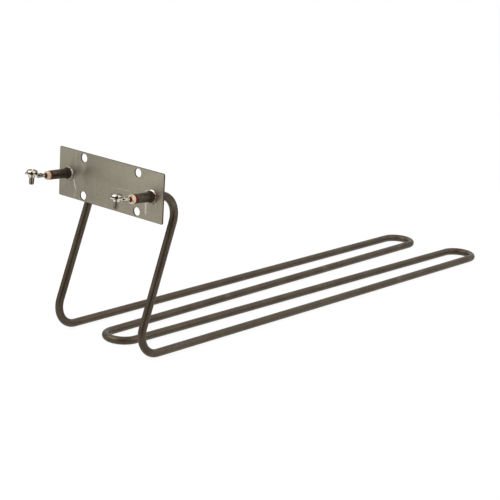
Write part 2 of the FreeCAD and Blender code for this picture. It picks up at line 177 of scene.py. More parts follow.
class Finish:
    """A node tree that is filled one node at a time."""

    def __init__(self, tree):
        self.tree = tree
        tree.nodes.clear()

    def add(self, kind, settings=None, sockets=None, output=0):
        """One node: its settings first, then the values or links of its sockets."""
        node = self.tree.nodes.new(kind)
        for name, value in (settings or {}).items():
            setattr(node, name, value)
        for key, value in (sockets or {}).items():
            socket = self.find(node.inputs, key)
            if isinstance(value, Signal):
                self.tree.links.new(value.socket, socket)
            else:
                socket.default_value = value
        return Signal(self, self.find(node.outputs, output)) if node.outputs else None

    @staticmethod
    def find(sockets, key):
        if isinstance(key, int):
            return sockets[key]
        return next(socket for socket in sockets if key in (socket.identifier, socket.name))

    def vector_math(self, operation, first, second, output="Vector"):
        return self.add("ShaderNodeVectorMath", {"operation": operation},
                        {0: first, 1: second}, output)

    def place(self, stretch=(1, 1, 1), shift=(0, 0, 0)):
        """Object coordinates in metres, stretched and moved."""
        return self.add("ShaderNodeMapping", {"vector_type": "POINT"}, {
            "Vector": self.where(), "Location": shift, "Scale": stretch})

    def where(self):
        """Object coordinates in metres."""
        return self.add("ShaderNodeTexCoord", output="Object")

    def part(self, axis):
        """One object coordinate, in metres."""
        return self.add("ShaderNodeSeparateXYZ", None, {"Vector": self.where()}, axis)

    def unsigned(self, value):
        """A value without its sign."""
        return self.add("ShaderNodeMath", {"operation": "ABSOLUTE"}, {0: value})

    def grain(self, scale, detail=3.0, rough=0.55, twist=0.0, **place):
        """Noise from 0 to 1, so many features to the metre."""
        return self.add("ShaderNodeTexNoise", {"noise_dimensions": "3D"}, {
            "Vector": self.place(**place), "Scale": scale, "Detail": detail,
            "Roughness": rough, "Distortion": twist}, "Fac")

    def cells(self, scale, **place):
        """Distance to the nearest of scattered points."""
        return self.add("ShaderNodeTexVoronoi", {"feature": "F1"}, {
            "Vector": self.place(**place), "Scale": scale}, "Distance")

    def step(self, value, low, high, bottom=0.0, top=1.0):
        """A soft step from one value to another."""
        return self.add("ShaderNodeMapRange", {"interpolation_type": "SMOOTHSTEP"}, {
            "Value": value, "From Min": low, "From Max": high,
            "To Min": bottom, "To Max": top})

    def mix(self, factor, first, second):
        return self.add("ShaderNodeMix", {"data_type": "RGBA", "blend_type": "MIX"}, {
            "Factor_Float": factor, "A_Color": first, "B_Color": second}, "Result_Color")

    def spot(self, centre, reach, edge=0.4):
        """1 inside a ball round a point given in millimetres, 0 outside it."""
        middle = tuple(c * MILLIMETRE for c in centre)
        away = self.vector_math("DISTANCE", self.where(), middle, "Value")
        reach = reach * MILLIMETRE
        return self.step(away, reach * (1 - edge), reach * (1 + edge), 1.0, 0.0)

    def stroke(self, start, end, half_width, wander=0.0):
        """1 along a line on the plate between two (x, z) places in millimetres."""
        start, end = (Vector((x, 0, z)) * MILLIMETRE for x, z in (start, end))
        length = (end - start).length
        run = (end - start).normalized()
        away = self.vector_math("SUBTRACT", self.where(), start)
        along = self.vector_math("DOT_PRODUCT", away, run, "Value")
        beside = self.vector_math("DOT_PRODUCT", away, run.cross(Vector((0, 1, 0))), "Value")
        if wander:
            beside = beside + (self.grain(160, 2) - 0.5) * (wander * MILLIMETRE)
        fade = 0.0012
        ends = (self.step(along, -fade, fade)
                * self.step(along, length - fade, length + fade, 1.0, 0.0))
        width = half_width * MILLIMETRE
        return ends * self.step(self.unsigned(beside), 0.3 * width, 1.3 * width, 1.0, 0.0)

    def painted(self, name):
        """An amount that the mesh keeps for each face."""
        return self.add("ShaderNodeAttribute", {
            "attribute_type": "GEOMETRY", "attribute_name": name}, output="Fac")

    def light_ray(self, kind):
        """1 for one kind of ray, such as Is Camera Ray."""
        return self.add("ShaderNodeLightPath", output=kind)

    def bump(self, height, strength, depth, under=None):
        sockets = {"Height": height, "Strength": strength, "Distance": depth * MILLIMETRE}
        if under:
            sockets["Normal"] = under
        return self.add("ShaderNodeBump", None, sockets, "Normal")

    def surface(self, **sockets):
        shader = self.add("ShaderNodeBsdfPrincipled", None, {
            name.replace("_", " "): value for name, value in sockets.items()}, "BSDF")
        self.add("ShaderNodeOutputMaterial", None, {"Surface": shader})


def new_finish(name):
    material = bpy.data.materials.new(name)
    material.use_nodes = True
    return material, Finish(material.node_tree)


def shade(red, green, blue):
    """A colour as it looks on a screen, 0 to 255, turned into light."""
    return tuple((c / 255 / 12.92) if c <= 10 else ((c / 255 + 0.055) / 1.055) ** 2.4
                 for c in (red, green, blue)) + (1.0,)


# Pale strokes on the plate, scuffs and painted reflections: from (x, z), to (x, z), half the width,
# wander, paleness
PLATE_SCUFFS_AND_REFLECTIONS = (
    ((-50.8, 25.0), (-51.4, 4.0), 0.5, 0.0, 0.35),
    # The next three strokes, below the left stub and below the right stub, are painted reflections.
    ((-53.6, -5.0), (-50.2, -15.6), 0.9, 1.5, 0.85),
    ((-50.3, -15.6), (-51.6, -24.0), 0.5, 1.0, 0.4),
    ((51.2, -7.5), (52.0, -19.6), 1.3, 2.0, 0.75),
    ((65.6, -5.2), (65.0, -10.2), 0.6, 1.0, 0.5),
    ((50.0, 3.4), (54.5, 6.6), 0.45, 1.0, 0.7),
    ((-57.6, 7.3), (-53.6, 4.8), 0.4, 1.0, 0.5),
)


def zinc_plate():
    """Dull warm-grey sheet: faint clouds and grain, painted light paler towards the right and the
    top, scuffs and painted reflections below the stubs, and brown cut edges with painted shade on
    the hole walls.
    """
    material, f = new_finish("dull_zinc_sheet")
    clouds = f.grain(48, 3, 0.55, 0.3)
    specks = f.grain(620, 3, 0.6)
    rolled = f.grain(1000, 2, 0.5, stretch=(1, 1, 0.05))
    fine = f.grain(1500, 2, 0.6)
    colour = f.mix(f.step(clouds, 0.3, 0.7), shade(144, 138, 122), shade(151, 145, 128))
    # Painted light: the plate is made paler towards the right and the top.
    painted_light = f.step(f.part(0), 0.005, 0.055) + f.step(f.part(2), 0.002, 0.02)
    colour = f.mix(painted_light * 0.29, colour, shade(172, 165, 148))
    colour = f.mix(f.step(specks, 0.5, 0.72) * 0.4, colour, shade(120, 111, 94))
    colour = f.mix(f.step(specks, 0.3, 0.46, 1.0, 0.0) * 0.3, colour, shade(170, 164, 148))
    colour = f.mix(f.step(rolled, 0.4, 0.75) * 0.12, colour, shade(180, 175, 160))
    colour = f.mix(f.step(fine, 0.5, 0.75) * 0.35, colour, shade(112, 104, 88))
    colour = f.mix(f.step(fine, 0.3, 0.45, 1.0, 0.0) * 0.3, colour, shade(172, 166, 150))
    broken = f.step(f.grain(420, 1), 0.46, 0.56)
    pale = f.stroke((0.0, -1.9), (29.0, -1.2), 0.35) * broken * 0.6
    for start, end, half_width, wander, paleness in PLATE_SCUFFS_AND_REFLECTIONS:
        pale = pale | f.stroke(start, end, half_width, wander) * paleness
    # Pale where it is scuffed, and painted reflections below the stubs.
    colour = f.mix(pale, colour, shade(206, 205, 198))
    nick = f.stroke((-17.8, -12.8), (-17.9, -15.4), 0.4) * 0.8
    colour = f.mix(nick, colour, shade(92, 84, 72))
    flux = f.spot((65.2, -1.5, 1.5), 4.2, 0.7) * f.step(specks, 0.35, 0.6, 0.35, 0.9)
    colour = f.mix(flux * 0.55, colour, shade(124, 88, 68))
    # Dark brown on every face that is not flat: bare steel on the cut edges, and painted shade on
    # the hole walls.
    brown = f.mix(f.step(fine, 0.4, 0.7), shade(60, 48, 35), shade(84, 68, 50))
    colour = f.mix(f.painted("grime_and_shade"), colour, brown)
    rough = 0.37 + 0.08 * clouds + 0.06 * specks
    # The real plate stands square to its stubs and leans as they rise. Here only
    # its shine leans, so that the stubs are mirrored where the photograph has them.
    square = f.add("ShaderNodeNewGeometry", output="Normal")
    leaning = f.add("ShaderNodeVectorRotate", {"rotation_type": "X_AXIS"}, {
        "Vector": square, "Angle": -STUB_RISE}, "Vector")
    tilt = f.bump(rolled, 0.25, 0.03, f.bump(clouds, 0.15, 0.3, f.bump(fine, 0.12, 0.02, leaning)))
    f.surface(Base_Color=colour, Metallic=0.85, Roughness=rough, Normal=tilt)
    return material


def oxidised_sheath():
    """Dark brown-grey oxidised tube, satin, with paler rubs and faint rust."""
    material, f = new_finish("oxidised_sheath")
    clouds = f.grain(38, 3, 0.6)
    mottle = f.grain(260, 4, 0.65, 0.3)
    drawn = f.grain(1500, 2, 0.5, stretch=(1, 0.03, 0.25))
    fine = f.grain(3200, 2, 0.6)
    colour = f.mix(f.step(clouds, 0.3, 0.7), shade(76, 65, 53), shade(89, 78, 64))
    colour = f.mix(f.step(mottle, 0.45, 0.75) * 0.5, colour, shade(70, 60, 49))
    colour = f.mix(f.step(drawn, 0.5, 0.8) * 0.3, colour, shade(112, 100, 84))
    rust = (f.step(f.grain(30, 3, 0.7, shift=(0.4, 0.1, 0.7)), 0.58, 0.72)
            * f.step(mottle, 0.35, 0.6))
    colour = f.mix(rust * 0.35, colour, shade(112, 78, 50))
    rubbed = (f.step(f.cells(24, shift=(0.013, 0.02, 0.01)), 0.10, 0.16, 1.0, 0.0)
              * f.step(fine, 0.4, 0.7))
    colour = f.mix(rubbed * 0.45, colour, shade(150, 140, 122))
    rough = 0.30 + 0.12 * mottle + 0.06 * clouds
    tilt = f.bump(drawn, 0.3, 0.04, f.bump(mottle, 0.3, 0.08, f.bump(fine, 0.2, 0.03)))
    f.surface(Base_Color=colour, Metallic=0.8, Roughness=rough, Normal=tilt)
    return material


def scorched_collar():
    """Oxidised brown-grey collar, darker towards the plate, and red-brown at its rim where it was
    heated.
    """
    material, f = new_finish("scorched_collar")
    mottle = f.grain(420, 4, 0.65, 0.5)
    fine = f.grain(2400, 2, 0.6)
    drawn = f.grain(1100, 2, 0.5, stretch=(1, 0.05, 1))
    colour = f.mix(f.step(mottle, 0.35, 0.65), shade(60, 51, 41), shade(80, 70, 56))
    colour = f.mix(f.step(drawn, 0.5, 0.75) * 0.4, colour, shade(104, 93, 76))
    colour = f.mix(f.step(fine, 0.55, 0.8) * 0.3, colour, shade(60, 50, 40))
    # Darker towards the plate.
    colour = f.mix(f.step(f.part(1), -0.0085, -0.0055) * 0.75, colour, shade(42, 34, 26))
    scorched = f.painted("grime_and_shade") * f.step(mottle, 0.3, 0.6, 0.45, 1.0)
    colour = f.mix(scorched, colour, shade(84, 44, 30))
    tilt = f.bump(mottle, 0.3, 0.08, f.bump(fine, 0.25, 0.03))
    f.surface(Base_Color=colour, Metallic=0.75, Roughness=0.32 + 0.16 * mottle, Normal=tilt)
    return material


def silver_braze():
    """Grey filler metal, lumpy, with painted highlights, flux stains and a spot of rust."""
    material, f = new_finish("silver_braze")
    lumps = f.grain(420, 3, 0.6, 0.4)
    fine = f.grain(2600, 3, 0.6)
    colour = f.mix(f.step(lumps, 0.35, 0.7), shade(140, 132, 116), shade(168, 160, 144))
    stain = f.step(f.grain(170, 3, 0.65, shift=(0.1, 0.5, 0.2)), 0.5, 0.62)
    colour = f.mix(stain * 0.6, colour, shade(112, 84, 62))
    colour = f.mix(f.step(fine, 0.6, 0.8) * 0.4, colour, shade(84, 72, 60))
    # Painted highlights: two near-white spots where the beads catch the light.
    bright = f.spot((-54.3, -2.4, 3.0), 2.9, 0.3) | f.spot((61.6, -2.4, 6.0), 3.0, 0.4)
    colour = f.mix(bright * 0.9, colour, shade(238, 238, 234))
    rust = f.spot((64.6, -2.2, 2.6), 1.9, 0.4) * f.step(lumps, 0.3, 0.5)
    colour = f.mix(rust * 0.8, colour, shade(150, 58, 38))
    tilt = f.bump(lumps, 0.5, 0.2, f.bump(fine, 0.3, 0.04))
    f.surface(Base_Color=colour, Metallic=0.9, Roughness=0.24 + 0.2 * lumps, Normal=tilt)
    return material


def red_silicone():
    """Brick-red silicone, dusty and pitted, and painted darker round the pins as shade in the
    bushings' mouths.
    """
    material, f = new_finish("red_silicone")
    dust = f.grain(600, 4, 0.65)
    pits = f.cells(1800)
    colour = f.mix(f.step(dust, 0.35, 0.7), shade(108, 12, 4), shade(138, 24, 10))
    colour = f.mix(f.step(pits, 0.05, 0.25, 0.4, 0.0), colour, shade(62, 12, 6))
    # Painted shade: the silicone round the pins, in the bushings' mouths, is made darker.
    colour = f.mix(f.painted("grime_and_shade") * 0.75, colour, shade(66, 14, 8))
    tilt = f.bump(f.step(pits, 0.0, 0.3), 0.3, 0.06, f.bump(dust, 0.2, 0.05))
    f.surface(Base_Color=colour, Roughness=0.55 + 0.2 * dust, Specular_IOR_Level=0.15,
              Normal=tilt)
    return material


def cream_ceramic():
    """Cream ceramic with a fine bisque grain, painted darker on the left bushing as shade, stained
    at its mouth.
    """
    material, f = new_finish("cream_ceramic")
    clouds = f.grain(260, 3, 0.6)
    fine = f.grain(2200, 3, 0.6)
    colour = f.mix(f.step(clouds, 0.35, 0.7), shade(232, 217, 184), shade(242, 231, 203))
    # Painted shade: the left bushing is made darker than the right.
    shaded_left = f.step(f.part(0), -0.03, 0.03, 1.0, 0.0)
    colour = f.mix(shaded_left * 0.75, colour, shade(198, 186, 148))
    stain = (f.step(f.grain(330, 3, 0.6, 0.5, shift=(0.06, 0.02, 0.05)), 0.54, 0.66)
             * f.step(clouds, 0.3, 0.6, 0.4, 1.0))
    colour = f.mix(stain * 0.2, colour, shade(196, 150, 100))
    wiped = f.spot((60.0, -30.3, 4.4), 1.1, 0.5) | f.spot((62.5, -30.5, 0.0), 0.9, 0.5)
    colour = f.mix(wiped * 0.85, colour, shade(196, 104, 52))
    colour = f.mix(f.step(fine, 0.6, 0.85) * 0.25, colour, shade(176, 150, 112))
    tilt = f.bump(fine, 0.25, 0.03, f.bump(clouds, 0.2, 0.1))
    f.surface(Base_Color=colour, Roughness=0.40 + 0.2 * clouds, Normal=tilt)
    return material


def bright_nickel(name, warm, dark, stained, shift=(0, 0, 0)):
    """Mirror-bright nickel plate, yellowed in patches, and dark brown by the amount each face
    keeps: dirt, and painted shade and dark reflections.
    """
    material, f = new_finish(name)
    patches = f.grain(330, 3, 0.6, 0.5, shift=shift)
    marks = f.grain(900, 3, 0.65, shift=shift)
    lines = f.grain(1800, 2, 0.5, stretch=(1, 0.08, 1), shift=shift)
    colour = f.mix(f.step(patches, 0.42, 0.65), shade(250, 246, 236), warm)
    colour = f.mix(f.step(marks, 0.55, 0.72) * stained, colour, dark)
    colour = f.mix(f.step(lines, 0.6, 0.8) * 0.3, colour, shade(248, 246, 240))
    # Dark brown by the mesh's amount: dirt, and painted shade and dark reflections.
    colour = f.mix(f.painted("grime_and_shade"), colour, shade(66, 46, 28))
    rough = 0.04 + 0.07 * marks + 0.04 * patches
    tilt = f.bump(marks, 0.08, 0.04, f.bump(lines, 0.1, 0.02))
    f.surface(Base_Color=colour, Metallic=1.0, Roughness=rough, Normal=tilt)
    return material


def wound_wire():
    """Drawn resistance wire, its turns shown as ridges along the legs."""
    material, f = new_finish("wound_resistance_wire")
    tint = f.grain(300, 3, 0.6)
    turns = f.add("ShaderNodeTexWave", {"wave_type": "BANDS", "bands_direction": "Y"}, {
        "Vector": f.place(), "Scale": 320.0, "Distortion": 0.2}, "Fac")
    colour = f.mix(f.step(tint, 0.3, 0.7), shade(120, 112, 104), shade(166, 158, 148))
    colour = f.mix(f.step(turns, 0.0, 0.4, 0.8, 0.0), colour, shade(50, 45, 42))
    f.surface(Base_Color=colour, Metallic=0.9, Roughness=0.3 + 0.2 * tint,
              Normal=f.bump(turns, 0.8, 0.3))
    return material


def packed_powder():
    """White magnesia powder, packed hard and grainy."""
    material, f = new_finish("packed_magnesia")
    grains = f.grain(3000, 4, 0.7)
    lumps = f.grain(350, 3, 0.6)
    colour = f.mix(f.step(grains, 0.35, 0.7), shade(226, 222, 212), shade(246, 244, 238))
    colour = f.mix(f.step(lumps, 0.5, 0.75) * 0.3, colour, shade(204, 196, 180))
    f.surface(Base_Color=colour, Roughness=0.82 + 0.1 * grains,
              Normal=f.bump(grains, 0.5, 0.06, f.bump(lumps, 0.3, 0.15)))
    return material


FINISHES = {
    "plate": zinc_plate(),
    "sheath": oxidised_sheath(),
    "coil": wound_wire(),
    "fill": packed_powder(),
    "collar": scorched_collar(),
    "braze": silver_braze(),
    "seal": red_silicone(),
    "ceramic": cream_ceramic(),
    "pin": bright_nickel("nickel_pin", shade(132, 118, 94), shade(74, 60, 44), 0.75),
    "terminal": bright_nickel("nickel_lug", shade(206, 194, 168), shade(92, 76, 54), 0.25,
                              (0.3, 0.1, 0.2)),
    "screw": bright_nickel("nickel_screw", shade(206, 184, 144), shade(84, 64, 42), 0.5,
                           (0.1, 0.4, 0.6)),
}
for subpart in frame["record"]["subparts"]:
    mesh = nodes[subpart["node"]].data
    mesh.materials.clear()
    mesh.materials.append(FINISHES[subpart["material_slot"]])


# Placing and finishing pieces

IN_FRAME = Matrix.Scale(MILLIMETRE, 4)


def stub_place(side, outward, lift=0.0):
    """Millimetres on a stub's axis, Y out and Z up, as metres of the frame."""
    drop = Vector((SIDES[side] * LEG_SPLAY, 0, -LEG_FALL)).normalized()
    out = -(Vector((0, math.cos(STUB_RISE), 0)) + drop * math.sin(STUB_RISE))
    up = (Vector((0, 0, 1)) - out * out.z).normalized()
    across = out.cross(up)
    start = Vector((STUB_ACROSS[side], -PLATE_THICKNESS, -HOLE_DROP)) + out * outward + up * lift
    axes = Matrix((across, out, up)).transposed().to_4x4()
    return IN_FRAME @ Matrix.Translation(start) @ axes


def finished(bm, name, slot, node, place, crease=38.0, grime_and_shade=None):
    """Turn a shape into a named piece that stands for one CAD node.

    The last argument gives how much darker a face is made, from the face's middle and its normal:
    for dirt, scorch and brown edges, and for painted shade and dark reflections."""
    bmesh.ops.remove_doubles(bm, verts=bm.verts, dist=0.0004)
    bmesh.ops.recalc_face_normals(bm, faces=bm.faces)
    if grime_and_shade:
        bm.normal_update()
        layer = bm.faces.layers.float.new("grime_and_shade")
        for face in bm.faces:
            face[layer] = grime_and_shade(face.calc_center_median(), face.normal)
    bmesh.ops.transform(bm, matrix=place, verts=bm.verts)
    mesh = bpy.data.meshes.new(name)
    bm.to_mesh(mesh)
    bm.free()
    for face in mesh.polygons:
        face.use_smooth = True
    mesh.set_sharp_from_angle(angle=math.radians(crease))
    mesh.materials.append(FINISHES[slot])
    piece = bpy.data.objects.new(name, mesh)
    bpy.context.scene.collection.objects.link(piece)
    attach(piece, "root")
    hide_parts(node)
    return piece


def turn_outline(bm, corners, axis, steps=PLAIN_TURN, closed=True):
    """Turn an outline of (radius, distance) corners about Y or Z."""
    points = [bm.verts.new((r, d, 0) if axis == "Y" else (r, 0, d)) for r, d in corners]
    ends = points[1:] + points[:1] if closed else points[1:]
    edges = [bm.edges.new(pair) for pair in zip(points, ends)]
    around = (0, 1, 0) if axis == "Y" else (0, 0, 1)
    bmesh.ops.spin(bm, geom=points + edges, cent=(0, 0, 0), axis=around, dvec=(0, 0, 0),
                   angle=math.tau, steps=steps, use_merge=True)
    bmesh.ops.remove_doubles(bm, verts=bm.verts, dist=0.0004)


def round_over(bm, edges, width, segments):
    bmesh.ops.bevel(bm, geom=edges, offset=width, offset_type="OFFSET", segments=segments,
                    profile=0.5, affect="EDGES", material=-1, clamp_overlap=True)


def ease_edges(bm, width, segments=2, sharper_than=30.0, chosen=None):
    """Round the edges that are sharper than an angle."""
    bm.normal_update()
    edges = [edge for edge in bm.edges if len(edge.link_faces) == 2
             and edge.calc_face_angle(0.0) > math.radians(sharper_than)
             and (chosen is None or chosen(edge))]
    round_over(bm, edges, width, segments)


def merged_copy(node):
    """A CAD node's triangles joined up, in millimetres, with its flat faces whole."""
    bm = bmesh.new()
    bm.from_mesh(nodes[node].data)
    bmesh.ops.scale(bm, vec=(1000, 1000, 1000), verts=bm.verts)
    bmesh.ops.remove_doubles(bm, verts=bm.verts, dist=0.002)
    bmesh.ops.dissolve_limit(bm, angle_limit=math.radians(0.5), verts=bm.verts, edges=bm.edges)
    return bm


# The mounting plate

def plate_sheet():
    """The plate, its cut edges and hole rims broken as a press leaves them."""
    def cut_edge(at, normal):
        return 0.0 if abs(normal.y) > 0.98 else 1.0

    bm = merged_copy("mounting_plate")
    ease_edges(bm, 0.34, 3, 50.0)
    return finished(bm, "plate_sheet", "plate", "mounting_plate", IN_FRAME, 30.0, cut_edge)


# Round each stub

def braze_bead(side):
    """An uneven bead of filler between the plate, the sheath and the collar."""
    bm = bmesh.new()
    inner = TUBE_RADIUS - 0.02
    turn_outline(bm, (
        (inner, -0.2),
        (inner + 3.1, 0.02),
        (inner + 2.7, 0.45),
        (inner + 2.1, 0.8),
        (inner + 1.5, 1.1),
        (inner, BRAZE_TOP + 0.03),
    ), "Y", FINE_TURN)
    ease_edges(bm, 0.2, 3)
    lumps = BEAD_LUMPS[side]
    for vert in bm.verts:
        radius = math.hypot(vert.co.x, vert.co.z)
        if radius > TUBE_RADIUS + 1.3 and vert.co.y > 0.05:
            swell = noise.noise(vert.co * 0.45 + Vector((lumps, 0, 0)))
            swell += 0.4 * noise.noise(vert.co * 1.3 + Vector((0, lumps, 0)))
            grown = 1 + 0.4 * swell * (radius - TUBE_RADIUS) / radius
            vert.co.x *= grown
            vert.co.z *= grown
            vert.co.y = max(0.04, vert.co.y + 0.35 * swell * min(1.0, vert.co.y))
    return finished(bm, f"{side}_braze_bead", "braze", f"{side}_braze_ring",
                    stub_place(side, 0), 60.0)


def collar_sleeve(side):
    """The collar: a thin sleeve over the stub, flared to a rim beside the plate."""
    def scorched_rim(at, normal):
        return 1.0 if at.y < 1.3 else 0.0

    bm = bmesh.new()
    bore = TUBE_RADIUS + 0.03
    length = STUB_LENGTH[side] - BRAZE_TOP
    turn_outline(bm, (
        (bore, 0.0),
        (bore + 1.35, 0.0),
        (bore + 1.76, 0.6),
        (bore + 1.76, 1.2),
        (bore + 1.3, 2.1),
        (bore + 0.88, 3.3),
        (bore + 0.67, 4.8),
        (bore + 0.47, length),
        (bore, length),
    ), "Y", FINE_TURN)
    ease_edges(bm, 0.16, 3, 9.0)
    return finished(bm, f"{side}_collar_sleeve", "collar", f"{side}_collar",
                    stub_place(side, BRAZE_TOP), grime_and_shade=scorched_rim)


def seal_washer(side):
    """The red ring, squeezed so that its edge bulges."""
    def on_the_outside(edge):
        return all(math.hypot(v.co.x, v.co.z) > SPIGOT_RADIUS + 0.1 for v in edge.verts)

    bm = bmesh.new()
    outer = TUBE_RADIUS + 0.33
    turn_outline(bm, (
        (SPIGOT_RADIUS, 0.0),
        (outer, 0.0),
        (outer + 0.16, 0.3 * SEAL_LENGTH),
        (outer + 0.16, 0.7 * SEAL_LENGTH),
        (outer, SEAL_LENGTH),
        (SPIGOT_RADIUS, SEAL_LENGTH),
    ), "Y", FINE_TURN)
    ease_edges(bm, 0.3, 3, 8.0, on_the_outside)
    return finished(bm, f"{side}_seal_washer", "seal", f"{side}_end_seal",
                    stub_place(side, STUB_LENGTH[side]), 50.0)


def bushing(side):
    """The ceramic bushing, its outer edge bevelled and its corners softened."""
    bm = bmesh.new()
    back = SPIGOT_LENGTH + SEAL_LENGTH
    face = back + FLANGE_LENGTH
    flange = TUBE_RADIUS + 0.25
    turn_outline(bm, (
        (PIN_BORE, 0.0),
        (SPIGOT_RADIUS, 0.0),
        (SPIGOT_RADIUS, back),
        (flange, back),
        (flange, face - 1.0),
        (flange - 1.0, face),
        (MOUTH_RADIUS, face),
        (MOUTH_RADIUS, face - PIN_SEAL_DEPTH),
        (PIN_BORE, face - PIN_SEAL_DEPTH),
    ), "Y", FINE_TURN)
    ease_edges(bm, 0.24, 3, 25.0, lambda edge: min(v.co.y for v in edge.verts) > back - 0.1)
    return finished(bm, f"{side}_bushing", "ceramic", f"{side}_ceramic_bushing",
                    stub_place(side, STUB_LENGTH[side] - SPIGOT_LENGTH))


def mouth_seal(side):
    """Silicone poured round the pin, heaped up out of the bushing's mouth."""
    bm = bmesh.new()
    inner = PIN_RADIUS + 0.01
    outer = MOUTH_RADIUS - 0.01
    turn_outline(bm, (
        (inner, 0.0),
        (outer, 0.0),
        (outer, PIN_SEAL_DEPTH),
        (2.3, PIN_SEAL_DEPTH + 0.7),
        (2.0, PIN_SEAL_DEPTH + 1.4),
        (inner, PIN_SEAL_DEPTH + 2.1),
    ), "Y")
    ease_edges(bm, 0.1, 2, 20.0)
    start = STUB_LENGTH[side] + SEAL_LENGTH + FLANGE_LENGTH - PIN_SEAL_DEPTH
    # All of this silicone is painted darker, as shade in the bushing's mouth.
    return finished(bm, f"{side}_mouth_seal", "seal", f"{side}_pin_seal",
                    stub_place(side, start), 60.0, lambda at, normal: 1.0)


# Terminals

def pin_rod(side):
    """The pin, flat on top where the lug's tab is welded on."""
    def soiled_and_shaded(at, normal):
        """Dirty all over, and painted darker underneath as shade."""
        # Painted shade underneath, dirt elsewhere.
        return 0.85 if normal.z < -0.3 else 0.35

    bm = merged_copy(f"{side}_terminal_pin")
    ease_edges(bm, 0.12, 2, 35.0)
    return finished(bm, f"{side}_pin_rod", "pin", f"{side}_terminal_pin", IN_FRAME, 30.0, soiled_and_shaded)


def ring_lug(side):
    """A pressed ring lug: a drawn neck in its middle, a step down to its tab."""
    def soiled_and_shaded(at, normal):
        """Painted shadow under the step and the tab, brown on top of the ring as tarnish and the
        head's painted shadow, clean elsewhere.
        """
        # Painted shadow under the step and the tab.
        if normal.z < -0.3 and at.y < -NECK_RADIUS - 0.2:
            return 0.9
        # Brown on the ring's top: tarnish, and painted shadow from the head.
        return 0.6 if normal.z > 0.5 and at.z > 0 else 0.15

    def on_tab_side(face):
        middle = face.calc_center_median()
        return (abs(face.normal.z) < 0.1 and middle.y < 0 and middle.length > LUG_RADIUS - 0.2
                and abs(middle.x) < TAB_HALF_WIDTH)

    def is_fold(edge):
        first, second = (vert.co for vert in edge.verts)
        return (first.y == second.y and abs(first.z - second.z) < 0.01
                and -TAB_LENGTH < first.y < -LUG_RADIUS)

    bm = bmesh.new()
    turn_outline(bm, (
        (HOLE_RADIUS, -NECK_HEIGHT),
        (NECK_RADIUS, -NECK_HEIGHT),
        (NECK_RADIUS, -0.5),
        (NECK_RADIUS + 0.5, 0.0),
        (LUG_RADIUS, 0.0),
        (LUG_RADIUS, LUG_THICKNESS),
        (HOLE_RADIUS + 0.3, LUG_THICKNESS),
        (HOLE_RADIUS, LUG_THICKNESS - 0.3),
    ), "Z")
    end = [face for face in bm.faces if on_tab_side(face)]
    for reach, sink in ((LUG_RADIUS + 0.1, 0), (TAB_FOOT, LUG_RISE), (TAB_LENGTH, LUG_RISE)):
        made = bmesh.ops.extrude_face_region(bm, geom=end)
        bmesh.ops.delete(bm, geom=end, context="FACES")
        end = [item for item in made["geom"] if isinstance(item, bmesh.types.BMFace)]
        verts = {vert for face in end for vert in face.verts}
        middle = sum(vert.co.z for vert in verts) / len(verts)
        widest = max(abs(vert.co.x) for vert in verts)
        for vert in verts:
            vert.co.x *= TAB_HALF_WIDTH / widest
            vert.co.y = -reach
            vert.co.z += LUG_THICKNESS / 2 - sink - middle
    round_over(bm, [edge for edge in bm.edges if is_fold(edge)], 0.7, 4)
    ease_edges(bm, 0.14, 2, 50.0)
    place = stub_place(side, STUB_LENGTH[side] + STUB_TO_SCREW, PIN_FLAT + LUG_RISE)
    return finished(bm, f"{side}_ring_lug", "terminal", f"{side}_terminal_lug", place, 40.0, soiled_and_shaded)


def screw_head(bm):
    """The plain shank and the round head, before its slot is cut."""
    root = SCREW_RADIUS - THREAD_DEPTH
    turn_outline(bm, (
        (0.0, -SCREW_LENGTH),
        (root - 0.4, -SCREW_LENGTH),
        (root, -SCREW_LENGTH + 0.4),
        (root, 0.0),
        (HEAD_RADIUS - 0.2, 0.0),
        (HEAD_RADIUS, 0.25),
        (HEAD_RADIUS, 0.95),
        (HEAD_RADIUS - 0.05, HEAD_RIM),
        (HEAD_RADIUS - 0.9, HEAD_HEIGHT - 0.9),
        (HEAD_RADIUS - 2.6, HEAD_HEIGHT - 0.25),
        (0.0, HEAD_HEIGHT),
    ), "Z", FINE_TURN, closed=False)
    ease_edges(bm, 0.3, 4, 8.0, lambda edge: min(v.co.z for v in edge.verts) > HEAD_RIM - 0.1
               and max(math.hypot(v.co.x, v.co.y) for v in edge.verts) > 0.5)


def cut_slot(bm, across):
    """Sink a slot in the head: cuts at its walls and floor, then a flat floor."""
    half = SLOT_WIDTH / 2
    floor = HEAD_HEIGHT - SLOT_DEPTH
    cuts = [(across * reach * way, across) for way in (-1, 1) for reach in (half, half + SLOT_WALL)]
    cuts.append((Vector((0, 0, floor)), Vector((0, 0, 1))))
    for point, normal in cuts:
        bmesh.ops.bisect_plane(bm, geom=bm.verts[:] + bm.edges[:] + bm.faces[:], dist=0.0001,
                               plane_co=point, plane_no=normal)
    sunk = [v for v in bm.verts if v.co.z > floor and abs(v.co.dot(across)) < half + 0.001]
    bmesh.ops.scale(bm, vec=(1, 1, 0), space=Matrix.Translation((0, 0, -floor)), verts=sunk)


